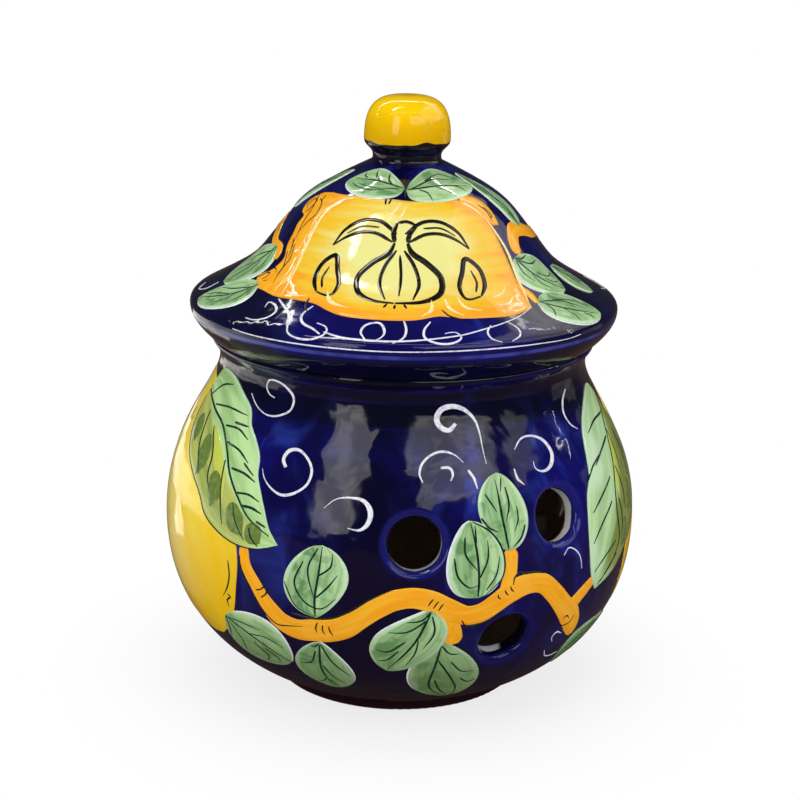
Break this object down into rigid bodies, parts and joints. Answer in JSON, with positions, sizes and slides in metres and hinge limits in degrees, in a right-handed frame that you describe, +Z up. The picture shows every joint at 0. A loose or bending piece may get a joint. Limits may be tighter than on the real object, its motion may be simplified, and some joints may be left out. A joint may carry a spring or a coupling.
{
  "type": "garlic keeper",
  "caption": "Round-bellied glazed ceramic jar with vent holes, a waisted neck and a broad-brimmed domed lid with a knob that lifts off.",
  "frame": {"origin": "centre of the foot, on the surface the jar stands on", "axes": "+Z up along the jar's axis of revolution, -Y towards the front with its vents, +X to the right seen from the front"},
  "size_m": [0.1608, 0.1608, 0.2008],
  "materials": {
    "cobalt_glaze": "glossy cobalt blue glaze with painted fruit and leaves",
    "yellow_glaze": "glossy ochre yellow glaze",
    "white_glaze": "glossy off-white tin glaze",
    "leaf_paint": "brushed green under clear glaze",
    "orange_paint": "brushed orange under clear glaze",
    "lemon_paint": "brushed lemon yellow under clear glaze",
    "white_paint": "white brush line under clear glaze",
    "black_paint": "black brush line under clear glaze"
  },
  "bodies": {
    "jar": {"jar_body": "cobalt_glaze"},
    "lifted_lid": {"lid": "cobalt_glaze", "lid_knob": "yellow_glaze"}
  },
  "joints": [
    {"name": "lid_lift", "type": "slide", "parent": "jar", "child": "lifted_lid", "axis": [0, 0, 1], "range_m": [0, 0.09]}
  ]
}
